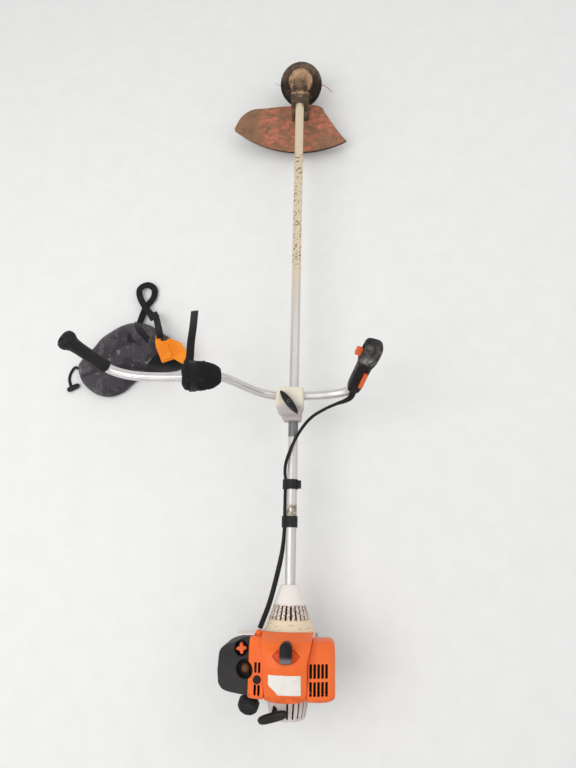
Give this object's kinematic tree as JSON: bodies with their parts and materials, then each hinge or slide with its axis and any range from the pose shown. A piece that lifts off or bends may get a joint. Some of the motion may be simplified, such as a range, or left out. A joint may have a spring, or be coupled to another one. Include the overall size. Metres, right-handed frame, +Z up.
{
  "type": "brush cutter",
  "caption": "Engine-driven brush cutter with a long drive tube, a wide handlebar with throttle handle, a deflector and a line cutting head, with its hip pad.",
  "frame": {"origin": "centre of the underside of the fuel tank foot, on the floor under the cylinder", "axes": "+Y along the drive tube towards the cutting head, +X to the operator's right, +Z up"},
  "size_m": [0.9056, 1.8943, 0.4595],
  "materials": {
    "drawn_aluminium": "satin, drawn",
    "cast_aluminium": "matte, cast",
    "gearcase": "matte, caked in soil",
    "steel": "satin",
    "cream_plastic": "matte, scuffed",
    "orange_plastic": "satin, worn",
    "black_plastic": "satin",
    "black_rubber": "matte",
    "primer_rubber": "glossy, amber",
    "tank_plastic": "matte, translucent grey",
    "guard_plastic": "matte, scuffed and soiled",
    "head_plastic": "matte, soiled",
    "trimmer_line": "satin nylon",
    "foam": "matte foam",
    "webbing": "woven",
    "grey_cloth": "woven, printed in two greys",
    "bright_plastic": "satin, ribbed"
  },
  "bodies": {
    "root": {"drive_tube": "drawn_aluminium", "clutch_housing": "cream_plastic", "fan_housing": "cream_plastic", "crankcase": "cast_aluminium", "cylinder": "cast_aluminium", "piston": "cast_aluminium", "spark_plug": "steel", "spark_plug_boot": "black_rubber", "engine_shroud": "orange_plastic", "muffler_cover": "orange_plastic", "intake_panel": "orange_plastic", "panel_screw": "black_plastic", "muffler": "steel", "carburettor": "cast_aluminium", "air_filter": "foam", "filter_cover": "black_plastic", "fuel_tank": "tank_plastic", "starter_housing": "cream_plastic", "handle_support": "cream_plastic", "carrying_clamp": "black_plastic", "cable_clip": "black_plastic", "throttle_cable": "black_rubber", "gear_housing": "gearcase", "output_bearing": "steel", "deflector_bracket": "gearcase", "deflector": "guard_plastic", "line_cutter": "steel"},
    "crank": {"crankshaft": "steel", "flywheel": "cast_aluminium", "clutch_shoes": "steel"},
    "drive": {"drive_shaft": "steel", "clutch_drum": "steel", "drive_pinion": "steel"},
    "head": {"output_gear": "steel", "output_shaft": "steel", "head_housing": "head_plastic", "line_left": "trimmer_line", "line_right": "trimmer_line"},
    "spool": {"line_spool": "head_plastic"},
    "starter_grip": {"starter_grip": "black_plastic", "starter_rope": "webbing"},
    "starter_reel": {"starter_reel": "black_plastic"},
    "choke_knob": {"choke_knob": "orange_plastic"},
    "primer_bulb": {"primer_bulb": "primer_rubber"},
    "fuel_cap": {"fuel_cap": "black_plastic"},
    "handlebar": {"handlebar_tube": "drawn_aluminium", "bar_clamp": "cream_plastic", "left_grip": "black_rubber", "control_handle": "black_plastic", "bar_pad": "foam", "pad_strap": "webbing"},
    "clamp_knob": {"clamp_knob": "black_plastic"},
    "throttle_trigger": {"throttle_trigger": "black_plastic"},
    "throttle_interlock": {"throttle_interlock": "orange_plastic"},
    "stop_switch": {"stop_switch": "orange_plastic"},
    "carrying_ring": {"carrying_ring": "steel"},
    "harness": {"hip_pad": "grey_cloth", "harness_plate": "bright_plastic", "harness_strap": "webbing", "side_strap": "webbing"}
  },
  "joints": [
    {"name": "crank_spin", "type": "hinge", "parent": "root", "child": "crank", "pos_m": [0, 0, 0.142], "axis": [0, 1, 0], "continuous": true},
    {"name": "head_spin", "type": "hinge", "parent": "root", "child": "head", "pos_m": [0, 1.678, 0.142], "axis": [0, 0.5, -0.866], "continuous": true},
    {"name": "drive_spin", "type": "hinge", "parent": "root", "child": "drive", "pos_m": [0, 0, 0.142], "axis": [0, 1, 0], "continuous": true},
    {"name": "bump_feed", "type": "slide", "parent": "head", "child": "spool", "axis": [0, -0.5, 0.866], "range_m": [0, 0.005], "stiffness_N_per_m": 1500, "springref_m": -0.006},
    {"name": "starter_pull", "type": "slide", "parent": "root", "child": "starter_grip", "axis": [-0.12, -0.45, 0.8849], "range_m": [0, 0.9], "stiffness_N_per_m": 22, "springref_m": -0.45, "deforming": ["starter_rope"]},
    {"name": "reel_spin", "type": "hinge", "parent": "root", "child": "starter_reel", "pos_m": [0, 0, 0.142], "axis": [0, 1, 0], "range_deg": [0, 2180]},
    {"name": "choke_turn", "type": "hinge", "parent": "root", "child": "choke_knob", "pos_m": [-0.101, 0.043, 0.2], "axis": [0, 0, 1], "range_deg": [0, 75]},
    {"name": "primer_press", "type": "slide", "parent": "root", "child": "primer_bulb", "axis": [0, 0, -1], "range_m": [0, 0.004], "stiffness_N_per_m": 400},
    {"name": "fuel_cap_turn", "type": "hinge", "parent": "root", "child": "fuel_cap", "pos_m": [-0.092, -0.089, 0.122], "axis": [-0.0999, -0.5496, 0.8294], "range_deg": [0, 360]},
    {"name": "handlebar_swivel", "type": "hinge", "parent": "root", "child": "handlebar", "pos_m": [-0.007, 0.604, 0.168], "axis": [0, 0, -1], "range_deg": [0, 90], "deforming": ["throttle_cable"]},
    {"name": "clamp_knob_turn", "type": "hinge", "parent": "handlebar", "child": "clamp_knob", "pos_m": [-0.007, 0.604, 0.2185], "axis": [0, 0, 1], "range_deg": [0, 360]},
    {"name": "throttle_squeeze", "type": "hinge", "parent": "handlebar", "child": "throttle_trigger", "pos_m": [0.17848, 0.70388, 0.28393], "axis": [-0.9498, 0.1651, 0.2659], "range_deg": [0, 8], "stiffness_Nm_per_rad": 0.5, "springref_deg": -20.05},
    {"name": "interlock_press", "type": "hinge", "parent": "handlebar", "child": "throttle_interlock", "pos_m": [0.17841, 0.6563, 0.28314], "axis": [0.9498, -0.1651, -0.2659], "range_deg": [0, 4], "stiffness_Nm_per_rad": 0.5, "springref_deg": -11.46},
    {"name": "stop_slide", "type": "slide", "parent": "handlebar", "child": "stop_switch", "axis": [0.313, 0.5009, 0.8069], "range_m": [0, 0.008]},
    {"name": "ring_swing", "type": "hinge", "parent": "root", "child": "carrying_ring", "pos_m": [0, 0.413, 0.1185], "axis": [0, 1, 0], "range_deg": [-60, 60]},
    {"name": "harness_slide", "type": "slide", "parent": "root", "child": "harness", "axis": [-1, 0, 0], "range_m": [0, 0.4]}
  ],
  "couplings": [
    {"joint": "drive_spin", "follows": "head_spin", "ratio": 1.4167},
    {"joint": "reel_spin", "follows": "starter_pull", "rad_per_m": 42.194}
  ]
}
